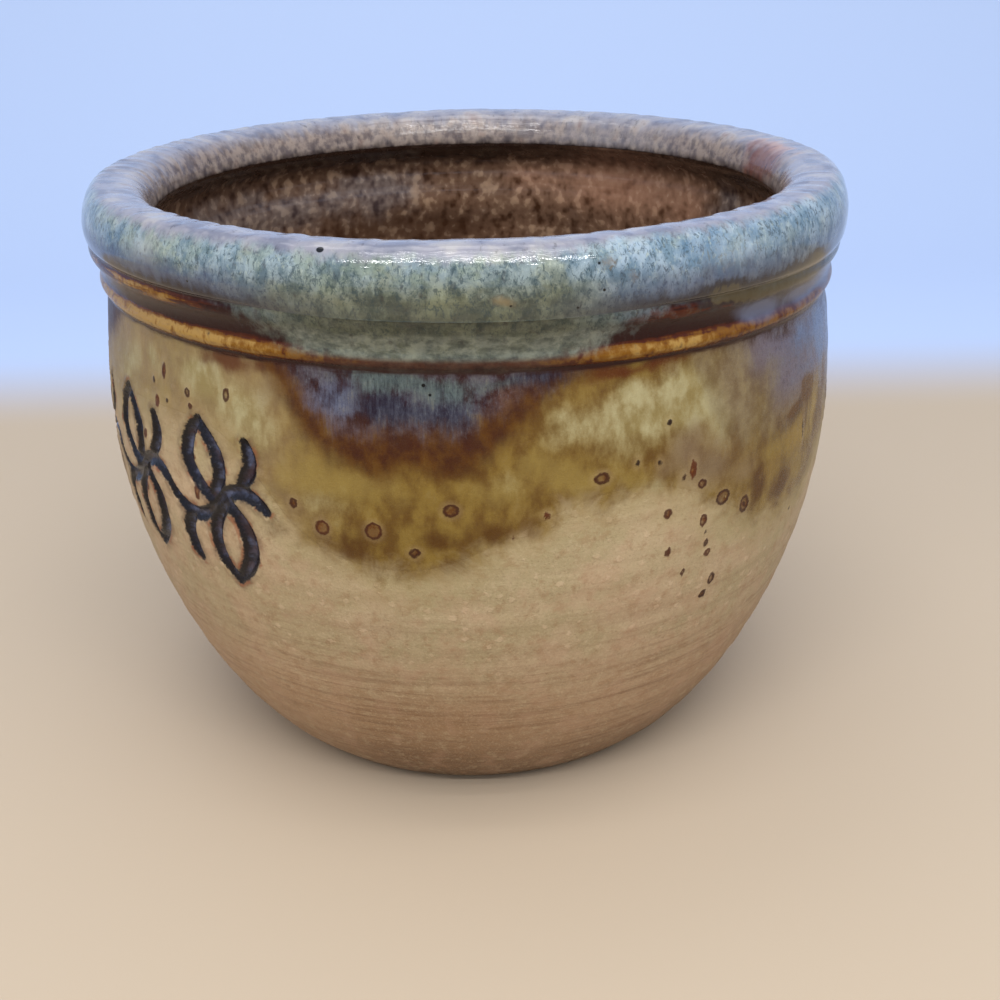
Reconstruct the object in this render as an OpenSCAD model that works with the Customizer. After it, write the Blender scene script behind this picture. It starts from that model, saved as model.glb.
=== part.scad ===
// Hand-thrown stoneware planter with a rolled rim, two cordons under it and a bowl-shaped belly.
// One fired clay body carries three glaze coats. Every coat lies face to face on the clay.
// Origin: centre of the foot, on the surface that the pot stands on. +Z is up. Millimetres.

/* [Pot] */
// Overall height, from the standing ring to the crest of the rim
pot_h = 170.2; // [150:0.1:200]
// Diameter of the foot where the belly leaves the standing surface
foot_d = 132; // [110:1:150]
// Largest diameter of the belly
belly_d = 217; // [200:1:235]
// Height of the belly's largest diameter
belly_z = 102; // [80:1:110]
// How far the wall draws in, per side, between the belly and the cordons
shoulder_draw = 3.4; // [1:0.1:8]
// Thickness of the thrown wall
wall_t = 7.5; // [5:0.1:10]

/* [Rim] */
// Diameter over the rolled rim
rim_d = 220; // [205:1:240]
// Width of the roll, from its outside to the edge of the mouth
rim_w = 20; // [14:0.5:26]
// How far the crest lies in from the outside of the roll
crest_in = 6.2; // [3:0.1:9]
// Height of the crest above the widest line of the roll
rim_up = 11.7; // [8:0.1:16]
// Height of the roll's underside, from the widest line down to the groove
rim_under = 4.5; // [2:0.1:6]
// How far the roll stands out over the groove under it
rim_overhang = 2.3; // [1.5:0.1:6]
// Depth of the mouth's edge below the crest
mouth_drop = 10.6; // [8:0.1:16]
// Height of the hollow that undercuts the roll inside
undercut_h = 10.6; // [6:0.1:14]

/* [Cordons] */
// Height of the upper cordon, right under the rim
upper_cordon_h = 4.9; // [4:0.1:8]
// How far the upper cordon stands out
upper_cordon_relief = 1; // [0.5:0.1:2]
// Height of the cove between the two cordons
cove_h = 4.2; // [2:0.1:6]
// How deep the cove is cut
cove_relief = 0.3; // [0:0.1:1]
// Height of the lower cordon
lower_cordon_h = 4.2; // [3:0.1:7]
// How far the lower cordon stands out
lower_cordon_relief = 1.4; // [0.5:0.1:2]

/* [Base] */
// Thickness of the floor over the recess
floor_t = 9; // [6:0.5:14]
// Depth of the recess turned into the underside
recess_h = 2; // [1:0.1:4]
// Width of the standing ring round the recess
ring_w = 14; // [8:0.5:20]
// How far the flat of the floor ends inside the foot's radius
floor_inset = 8; // [4:0.5:16]
// Diameter of the drain hole in the floor
drain_d = 12; // [6:0.5:20]

/* [Glaze] */
// Thickness of a fired coat of glaze
glaze_t = 0.5; // [0.3:0.1:0.8]
// Distance from the belly's largest diameter down to the end of the outer glaze
glaze_drop = 12; // [5:1:45]
// Length over which a coat runs out to nothing at its free edge
glaze_taper = 8; // [3:0.5:15]
// Bare ring left round the drain hole
drain_bare = 3; // [1:0.5:8]

/* [Hidden] */
$fn = 128;

// Radii and heights that follow from the sizes above
foot_r = foot_d / 2;
belly_r = belly_d / 2;
shoulder_r = belly_r - shoulder_draw;
rim_r = rim_d / 2;
crest_r = rim_r - crest_in;
mouth_r = rim_r - rim_w;
groove_r = rim_r - rim_overhang;
drain_r = drain_d / 2;
rim_wide_z = pot_h - rim_up;
groove_z = rim_wide_z - rim_under;
cove_top_z = groove_z - upper_cordon_h;
cove_low_z = cove_top_z - cove_h;
shoulder_z = cove_low_z - lower_cordon_h;
mouth_z = pot_h - mouth_drop;
undercut_z = mouth_z - undercut_h;
floor_z = recess_h + floor_t;
glaze_line_z = belly_z - glaze_drop;

// The belly swells from the foot as r = foot + swell * (1 - u^belly_p)^belly_q,
// where u runs from 1 at the foot to 0 at the belly's largest diameter
belly_p = 1.8;
belly_q = 0.742;

// Number of steps that draw each stretch of the outline
belly_steps = 22;
glazed_belly_steps = 8;
shoulder_steps = 8;
cordon_steps = 10;
cove_steps = 6;
quarter_steps = 12;
undercut_steps = 10;
floor_steps = 6;

function swell(low_r, high_r, u) = low_r + (high_r - low_r) * pow(1 - pow(u, belly_p), belly_q);

function lerp(a, b, s) = a + (b - a) * s;

// Outside radius of the plain wall at a height up to the shoulder
function wall_r(z) =
    z < belly_z
        ? swell(foot_r, belly_r, (belly_z - z) / belly_z)
        : belly_r - shoulder_draw * pow((z - belly_z) / (shoulder_z - belly_z), 2);

// Radius of the line that the cordons stand on, from the shoulder to the groove under the rim
function cordon_base_r(z) = lerp(shoulder_r, groove_r, (z - shoulder_z) / (groove_z - shoulder_z));

// A band between two heights, raised by relief in its middle; a negative relief makes a cove
function band(z0, z1, relief, steps) =
    [for (i = [1:steps])
        let (z = lerp(z0, z1, i / steps))
        [cordon_base_r(z) + relief * sin(180 * i / steps), z]];

function bezier(a, b, c, d, s) =
    pow(1 - s, 3) * a + 3 * pow(1 - s, 2) * s * b + 3 * (1 - s) * s * s * c + pow(s, 3) * d;

// Bare clay: from the foot up to the end of the outer glaze.
// The angle spaces the points closely where the belly curves most
bare_angle = acos(1 - glaze_line_z / belly_z);
bare_outside =
    [for (i = [0:belly_steps])
        let (z = belly_z * (1 - cos(bare_angle * i / belly_steps)))
        [wall_r(z), z]];

// Under the shoulder glaze: the upper belly, the shoulder and both cordons
glazed_outside = concat(
    [for (i = [1:glazed_belly_steps])
        let (z = lerp(glaze_line_z, belly_z, i / glazed_belly_steps))
        [wall_r(z), z]],
    [for (i = [1:shoulder_steps])
        let (z = lerp(belly_z, shoulder_z, i / shoulder_steps))
        [wall_r(z), z]],
    band(shoulder_z, cove_low_z, lower_cordon_relief, cordon_steps),
    band(cove_low_z, cove_top_z, -cove_relief, cove_steps),
    band(cove_top_z, groove_z, upper_cordon_relief, cordon_steps)
);

// The roll: its underside, its outside up to the crest, and its top down to the mouth
roll = concat(
    [for (i = [1:quarter_steps])
        let (a = 90 * i / quarter_steps)
        [lerp(groove_r, rim_r, sin(a)), rim_wide_z - rim_under * cos(a)]],
    [for (i = [1:quarter_steps])
        let (a = 90 * i / quarter_steps)
        [lerp(crest_r, rim_r, cos(a)), rim_wide_z + rim_up * sin(a)]],
    [for (i = [1:quarter_steps])
        let (a = 90 * i / quarter_steps)
        [lerp(crest_r, mouth_r, sin(a)), mouth_z + mouth_drop * cos(a)]]
);

// Inside: the undercut below the roll, the wall, the bowl and the flat floor
inner_wall_r = cordon_base_r(undercut_z) - wall_t;
inner_belly_r = belly_r - wall_t;
floor_r = foot_r - floor_inset;
inside = concat(
    [for (i = [1:undercut_steps])
        bezier([mouth_r, mouth_z], [mouth_r, mouth_z - undercut_h / 4],
               [inner_wall_r, mouth_z - undercut_h / 3], [inner_wall_r, undercut_z],
               i / undercut_steps)],
    [for (i = [0:shoulder_steps])
        let (z = lerp(shoulder_z, belly_z, i / shoulder_steps))
        [wall_r(z) - wall_t, z]],
    [for (i = [1:belly_steps])
        let (u = sin(90 * i / belly_steps))
        [swell(floor_r, inner_belly_r, u), lerp(belly_z, floor_z, u)]],
    [for (i = [1:floor_steps])
        [lerp(floor_r, drain_r + drain_bare, i / floor_steps), floor_z]]
);

// The finished surface in one path, and the places where one coat ends and the next begins
surface = concat(bare_outside, glazed_outside, roll, inside);
glaze_start = len(bare_outside) - 1;
rim_start = glaze_start + len(glazed_outside);
liner_start = rim_start + len(roll);
liner_end = len(surface) - 1;

// Thickness of the glaze at a point: nothing on bare clay, running out at both free edges
function coat(i) =
    glaze_t * max(0, min(1,
        i < glaze_start ? 0 : norm(surface[i] - surface[glaze_start]) / glaze_taper,
        norm(surface[i] - surface[liner_end]) / glaze_taper));

// The way out of the clay at a point of the path, which climbs outside and comes down inside
function outward(i) =
    let (step = surface[min(i + 1, liner_end)] - surface[max(i - 1, 0)])
    [step[1], -step[0]] / norm(step);

// The clay's own surface under the glaze
clay = [for (i = [0:liner_end]) surface[i] - coat(i) * outward(i)];

function slice(path, first, last) = [for (i = [first:last]) path[i]];
function slice_back(path, last, first) = [for (i = [last:-1:first]) path[i]];

module turned(outline) {
    rotate_extrude() polygon(outline);
}

// The thrown and fired clay, with its standing ring, the recess under it and the drain hole
module stoneware_body() {
    color("#c8a57a")
    turned(concat(
        [[drain_r, recess_h],
         [foot_r - ring_w - recess_h, recess_h],
         [foot_r - ring_w, 0]],
        clay,
        [[drain_r, floor_z]]));
}

// Amber and olive glaze from the upper belly over both cordons
module shoulder_glaze() {
    color("#8d6d2a")
    turned(concat(
        slice(surface, glaze_start, rim_start),
        slice_back(clay, rim_start, glaze_start + 1)));
}

// Blue-green glaze over the whole roll
module rim_glaze() {
    color("#7f9795")
    turned(concat(
        slice(surface, rim_start, liner_start),
        slice_back(clay, liner_start, rim_start)));
}

// Dark brown glaze inside, from the edge of the mouth to the drain hole's bare ring
module liner_glaze() {
    color("#4a3628")
    turned(concat(
        slice(surface, liner_start, liner_end),
        slice_back(clay, liner_end - 1, liner_start)));
}

stoneware_body();
shoulder_glaze();
rim_glaze();
liner_glaze();
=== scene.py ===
"""Looks of a hand-thrown stoneware planter: clay, three glazes, a carved vine, lights and camera.

Lengths are millimetres until a mesh is made. An azimuth is in degrees, 0 towards the camera
side (-Y) and growing towards +X. "Along" is the distance walked on the finished surface, from
the foot up the outside, over the rim and down the inside.
"""
import math

import bpy
import numpy as np
from mathutils import Matrix, Vector


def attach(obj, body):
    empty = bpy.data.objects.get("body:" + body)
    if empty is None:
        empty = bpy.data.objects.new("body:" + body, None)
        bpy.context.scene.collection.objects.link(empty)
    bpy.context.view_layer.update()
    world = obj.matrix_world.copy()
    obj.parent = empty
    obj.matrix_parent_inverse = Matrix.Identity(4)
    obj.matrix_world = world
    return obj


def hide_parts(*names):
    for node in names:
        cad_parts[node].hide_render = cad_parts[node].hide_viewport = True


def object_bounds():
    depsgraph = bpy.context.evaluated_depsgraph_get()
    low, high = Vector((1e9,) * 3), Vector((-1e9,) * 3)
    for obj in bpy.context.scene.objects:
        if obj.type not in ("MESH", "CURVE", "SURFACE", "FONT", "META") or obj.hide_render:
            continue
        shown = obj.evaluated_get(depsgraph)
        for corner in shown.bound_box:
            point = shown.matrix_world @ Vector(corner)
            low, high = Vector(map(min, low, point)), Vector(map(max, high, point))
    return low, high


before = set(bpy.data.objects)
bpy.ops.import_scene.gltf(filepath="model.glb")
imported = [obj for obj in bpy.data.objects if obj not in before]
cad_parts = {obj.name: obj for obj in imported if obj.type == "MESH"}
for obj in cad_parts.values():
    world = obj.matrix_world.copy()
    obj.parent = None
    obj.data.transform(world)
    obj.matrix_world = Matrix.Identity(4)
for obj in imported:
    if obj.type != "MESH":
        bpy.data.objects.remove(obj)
cad_low, cad_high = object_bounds()

MM = 0.001

# ---- sizes, as in the CAD frame

POT_H = (cad_high.z - cad_low.z) / MM
RIM_R = 110.0
RIM_W = 20.0
RIM_UP = 11.7
RIM_UNDER = 4.5
RIM_OVERHANG = 2.3
CREST_IN = 6.2
MOUTH_DROP = 10.6
UNDERCUT_H = 10.6
UPPER_CORDON_H = 4.9
UPPER_CORDON_RELIEF = 1.0
COVE_H = 4.2
COVE_RELIEF = 0.3
LOWER_CORDON_H = 4.2
LOWER_CORDON_RELIEF = 1.4
BELLY_R = 108.5
BELLY_Z = 102.0
SHOULDER_DRAW = 3.4
FOOT_R = 66.0
WALL_T = 7.5
FLOOR_T = 9.0
FLOOR_INSET = 8.0
RECESS_H = 2.0
RING_W = 14.0
DRAIN_R = 6.0
DRAIN_BARE = 3.0
GLAZE_T = 0.5
BELLY_P = 1.8
BELLY_Q = 0.742

CREST_R = RIM_R - CREST_IN
MOUTH_R = RIM_R - RIM_W
GROOVE_R = RIM_R - RIM_OVERHANG
SHOULDER_R = BELLY_R - SHOULDER_DRAW
FLOOR_R = FOOT_R - FLOOR_INSET
WIDEST_Z = POT_H - RIM_UP
GROOVE_Z = WIDEST_Z - RIM_UNDER
COVE_TOP_Z = GROOVE_Z - UPPER_CORDON_H
COVE_LOW_Z = COVE_TOP_Z - COVE_H
SHOULDER_Z = COVE_LOW_Z - LOWER_CORDON_H
MOUTH_Z = POT_H - MOUTH_DROP
FLOOR_Z = RECESS_H + FLOOR_T

PATH_STEP = 0.1
CORNER_SOFTNESS = 0.7
POOLED_SOFTNESS = 3.6
WRAP_R = 100.0  # radius on which the patterns are laid round the pot
FAR = 9.0  # stands for any distance at which a spot or a cut no longer shows
NO_EDGE = 50.0  # stands for the height above the glazes' edges where there are none

# ---- outline of the finished pot


def lerp(a, b, t):
    return a + (b - a) * t


def ease(value, low, high):
    """0 below low, 1 above high, smooth between."""
    t = np.clip((value - low) / (high - low), 0, 1)
    return t * t * (3 - 2 * t)


def hump(value, middle, half):
    """A bell of height 1 that is half wide to each side of the middle."""
    return np.exp(-(((value - middle) / half) ** 2))


def swell(low_r, high_r, u):
    return low_r + (high_r - low_r) * (1 - u**BELLY_P) ** BELLY_Q


def wall_r(z):
    """Outside radius of the plain wall, up to the shoulder."""
    below = swell(FOOT_R, BELLY_R, np.clip((BELLY_Z - z) / BELLY_Z, 0, 1))
    above = BELLY_R - SHOULDER_DRAW * ((z - BELLY_Z) / (SHOULDER_Z - BELLY_Z)) ** 2
    return np.where(z < BELLY_Z, below, above)


def cordon_base_r(z):
    return lerp(SHOULDER_R, GROOVE_R, (z - SHOULDER_Z) / (GROOVE_Z - SHOULDER_Z))


def band(low_z, high_z, relief_r):
    t = np.linspace(0, 1, 30)
    z = lerp(low_z, high_z, t)
    return np.stack([cordon_base_r(z) + relief_r * np.sin(np.pi * t), z], 1)


def belly_and_shoulder():
    """The bare outside up to the cordons, with close points where the belly curves most."""
    belly = BELLY_Z * (1 - np.cos(np.linspace(0, np.pi / 2, 240)))
    shoulder = np.linspace(BELLY_Z, SHOULDER_Z, 60)
    return [np.stack([wall_r(z), z], 1) for z in (belly, shoulder)]


def roll_arcs():
    """The roll's underside, its outside up to the crest, and its top down to the mouth."""
    a = np.linspace(0, np.pi / 2, 60)
    s, c = np.sin(a), np.cos(a)
    under = np.stack([lerp(GROOVE_R, RIM_R, s), WIDEST_Z - RIM_UNDER * c], 1)
    outside = np.stack([lerp(CREST_R, RIM_R, c), WIDEST_Z + RIM_UP * s], 1)
    top = np.stack([lerp(CREST_R, MOUTH_R, s), MOUTH_Z + MOUTH_DROP * c], 1)
    return [under, outside, top]


def inside_stretches():
    """The undercut below the roll, the wall, the bowl and the flat floor."""
    undercut_z = MOUTH_Z - UNDERCUT_H
    wall_in_r = cordon_base_r(undercut_z) - WALL_T
    t = np.linspace(0, 1, 40)[:, None]
    a, b = np.array([MOUTH_R, MOUTH_Z]), np.array([MOUTH_R, MOUTH_Z - UNDERCUT_H / 4])
    c, d = np.array([wall_in_r, MOUTH_Z - UNDERCUT_H / 3]), np.array([wall_in_r, undercut_z])
    undercut = (1 - t) ** 3 * a + 3 * (1 - t) ** 2 * t * b + 3 * (1 - t) * t * t * c + t**3 * d
    z = np.linspace(SHOULDER_Z, BELLY_Z, 40)
    wall = np.stack([wall_r(z) - WALL_T, z], 1)
    u = np.sin(np.linspace(0, np.pi / 2, 120))
    bowl = np.stack([swell(FLOOR_R, BELLY_R - WALL_T, u), lerp(BELLY_Z, FLOOR_Z, u)], 1)
    floor = np.array([[FLOOR_R, FLOOR_Z], [DRAIN_R + DRAIN_BARE, FLOOR_Z]])
    return [undercut, wall, bowl, floor]


def soften(path, width):
    """Rounds the corners of an evenly stepped path with a bell of that width."""
    reach = int(3 * width / PATH_STEP)
    bell = np.exp(-0.5 * (np.arange(-reach, reach + 1) * PATH_STEP / width) ** 2)
    bell /= bell.sum()
    before = 2 * path[0] - path[reach:0:-1]
    after = 2 * path[-1] - path[-2 : -reach - 2 : -1]
    padded = np.concatenate([before, path, after])
    return np.stack([np.convolve(padded[:, k], bell, "valid") for k in (0, 1)], 1)


stretches = [
    *belly_and_shoulder(),
    band(SHOULDER_Z, COVE_LOW_Z, LOWER_CORDON_RELIEF),
    band(COVE_LOW_Z, COVE_TOP_Z, -COVE_RELIEF),
    band(COVE_TOP_Z, GROOVE_Z, UPPER_CORDON_RELIEF),
    *roll_arcs(),
    *inside_stretches(),
]
rough_path = np.concatenate(stretches)
walked = np.concatenate([[0], np.cumsum(np.hypot(*np.diff(rough_path, axis=0).T))])
along_steps = np.arange(0, walked[-1], PATH_STEP)
even_path = np.stack([np.interp(along_steps, walked, rough_path[:, k]) for k in (0, 1)], 1)
PATH = soften(even_path, CORNER_SOFTNESS)
POOLED_PATH = soften(even_path, POOLED_SOFTNESS)
heading = np.gradient(PATH, axis=0)
heading /= np.hypot(*heading.T)[:, None]
OUTWARD = np.stack([heading[:, 1], -heading[:, 0]], 1)
ends = np.cumsum([np.hypot(*np.diff(p, axis=0).T).sum() for p in stretches])
SHOULDER_AT, GROOVE_AT, CREST_AT, MOUTH_AT = ends[1], ends[4], ends[6], ends[7]
INNER_BELLY_AT, FLOOR_AT = ends[9], ends[10]
END_AT = along_steps[-1]


def on_path(table, along):
    return np.interp(along, along_steps, table)


def along_of_height(z):
    """How far up the outside a height lies, below the groove."""
    low = along_steps < GROOVE_AT
    return np.interp(z, PATH[low, 1], along_steps[low])


def along_up_to_crest(z):
    """How far up the outside a height lies, with the roll taken in."""
    climbing = along_steps < CREST_AT - 0.5
    return float(np.interp(z, np.maximum.accumulate(PATH[climbing, 1]), along_steps[climbing]))


# ---- small pattern tools


def turn(azimuth):
    """An azimuth brought between -180 and 180."""
    return (np.asarray(azimuth) + 180) % 360 - 180


def around(points, azimuth, soft=3.0):
    """A smooth curve through (azimuth, value) pairs that closes on itself."""
    steps = np.arange(-180, 180)
    a, v = np.array(sorted(points), float).T
    sharp = np.interp(steps, a, v, period=360)
    bell = np.exp(-0.5 * (turn(steps) / soft) ** 2)
    bell = np.fft.fft(np.fft.ifftshift(bell / bell.sum()))
    smooth = np.real(np.fft.ifft(np.fft.fft(sharp) * bell))
    return np.interp(turn(azimuth), steps, smooth, period=360)


def ripple(azimuth, along, wide, tall, seed):
    """Smooth noise from -1 to 1 on the wall, with cells that wide around and that tall."""
    columns = max(3, round(2 * math.pi * BELLY_R / wide))
    levels = int(END_AT / tall) + 3
    grid = np.random.default_rng(seed).uniform(-1, 1, (levels, columns))
    x, y = (turn(azimuth) + 180) / 360 * columns, np.clip(along, 0, END_AT) / tall
    x, y = np.broadcast_arrays(x, y)
    i, j = np.floor(y).astype(int), np.floor(x).astype(int)
    fy, fx = ease(y - i, 0, 1), ease(x - j, 0, 1)
    j0, j1 = j % columns, (j + 1) % columns
    low = lerp(grid[i, j0], grid[i, j1], fx)
    high = lerp(grid[i + 1, j0], grid[i + 1, j1], fx)
    return lerp(low, high, fy)


def across_from(place, azimuth):
    """Distance around the belly from one azimuth to others."""
    return np.radians(turn(azimuth - place)) * BELLY_R


def patches(places, azimuth, z):
    """Soft patches at (azimuth, height, half width, half height, strength), added up to 1."""
    total = 0
    for a, h, wide, tall, strength in places:
        total = total + strength * hump(across_from(a, azimuth), 0, wide) * hump(z, h, tall)
    return np.clip(total, 0, 1)


# ---- where the glazes run

# Lower edge of the olive glaze, as (azimuth, height)
GLAZE_EDGE = [
    (-64, 121), (-51, 122), (-42, 123), (-34, 121), (-29, 112), (-25, 99), (-18, 92), (-12, 90), (-7, 90),
    (-2, 93), (3, 98), (8, 103), (12, 106), (17, 109), (22, 109), (27, 107), (32, 103), (40, 93), (48, 88),
    (54, 86), (60, 92), (66, 100), (76, 106), (88, 100), (98, 90), (112, 84), (126, 92), (142, 104),
    (156, 98), (168, 88), (180, 86), (-168, 94), (-154, 108), (-140, 120), (-124, 122), (-108, 120),
    (-92, 123), (-78, 121),
]
# Lower edge of the blue-grey runs; above the shoulder there is none
RUN_EDGE = [
    (-60, 147), (-67, 136), (-74, 132), (-83, 133), (-92, 140), (-98, 147), (-112, 149), (-126, 138),
    (-140, 131), (-150, 126), (-162, 127), (-172, 136), (178, 146), (164, 143), (152, 130), (140, 122),
    (128, 126), (118, 138), (108, 147), (96, 145), (88, 134), (80, 120), (74, 108), (68, 108), (64, 113),
    (60, 120), (56, 114.5), (53, 112.5), (48, 111), (42, 111), (37, 113), (34, 119), (32, 130), (29, 143),
    (23, 148), (17, 143), (13, 139), (10, 137), (7, 135.5), (4.8, 133), (2.2, 130.5), (-0.5, 127),
    (-4.8, 125), (-9.5, 126.5), (-14, 125.5), (-19, 127), (-21.5, 132), (-24, 139), (-28, 146), (-45, 149),
]
# Lower edge of the brown that fringes the runs
BROWN_EDGE = [
    (-56, 147), (-64, 134), (-72, 128), (-84, 129), (-95, 138), (-104, 147), (-118, 142), (-128, 133),
    (-140, 124), (-152, 116), (-166, 118), (-178, 132), (170, 142), (158, 124), (144, 114), (130, 118),
    (118, 130), (106, 145), (94, 138), (86, 127), (78, 115), (70, 109), (64, 115), (60.5, 122), (56, 116),
    (52, 114), (47, 113), (42, 113), (37, 116), (33, 130), (28, 146), (20, 147), (16, 141), (13, 138),
    (9, 133), (6.5, 128), (4.2, 124), (2, 121), (-0.2, 118), (-5, 115.5), (-9.5, 115), (-14.3, 116),
    (-19.2, 119), (-22.8, 125), (-24.5, 131), (-27, 139), (-31, 144), (-44, 149),
]
# Shares round the pot: how much the rim's glaze covers the collar, how far the glaze thins to
# amber on the lower and on the upper cordon, how blue the roll is, how pink the clay
CURVES = {
    "veil": [
        (-52, 0), (-40, 0), (-33, 0.1), (-29, 0.3), (-24, 0.65), (-19, 0.92), (-15, 1), (10, 1),
        (15, 0.75), (20, 0.35), (26, 0.15), (33, 0.1), (50, 0.4), (66, 0.55), (84, 0.4), (100, 0.1),
        (122, 0.7), (145, 1), (160, 0.4), (178, 0.1), (-168, 0.6), (-148, 1), (-130, 0.6), (-112, 0.1),
        (-90, 0.1), (-76, 0.35), (-62, 0.1),
    ],
    "amber_low": [
        (-62, 0.95), (-45, 1.05), (-36, 1), (-29, 0.8), (-22, 0.5), (-8, 0.2), (4, 0.2), (12, 0.45),
        (18, 0.7), (24, 0.75), (29, 0.95), (36, 0.5), (45, 0.48), (60, 0.5), (72, 0.5), (90, 0.35),
        (110, 0.5), (130, 0.2), (150, 0.45), (170, 0.85), (-165, 0.9), (-140, 0.4), (-120, 0.25),
        (-100, 0.5), (-80, 0.8),
    ],
    "amber_up": [
        (-62, 0.8), (-52, 0.9), (-44, 0.75), (-38, 0.45), (-32, 0), (15, 0), (22, 0.3), (34, 0.35),
        (44, 0.2), (56, 0.2), (66, 0.25), (80, 0.3), (100, 0.1), (130, 0), (160, 0.3), (180, 0.7),
        (-160, 0.4), (-130, 0), (-100, 0.3), (-80, 0.6),
    ],
    "cool": [
        (-90, 0.9), (-62, 0.8), (-44, 0.35), (-30, 0.5), (-15, 0.2), (8, 0.15), (18, 0.9), (45, 0.9),
        (70, 0.8), (92, 0.2), (112, 0.1), (140, 0.1), (160, 0.3), (180, 0.6), (-155, 0.9), (-120, 0.8),
    ],
    "blush": [(-150, 0), (-110, 0.8), (-60, 1), (-30, 0.8), (-16, 0), (60, 0.1), (110, 0.6), (170, 0)],
}
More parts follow.
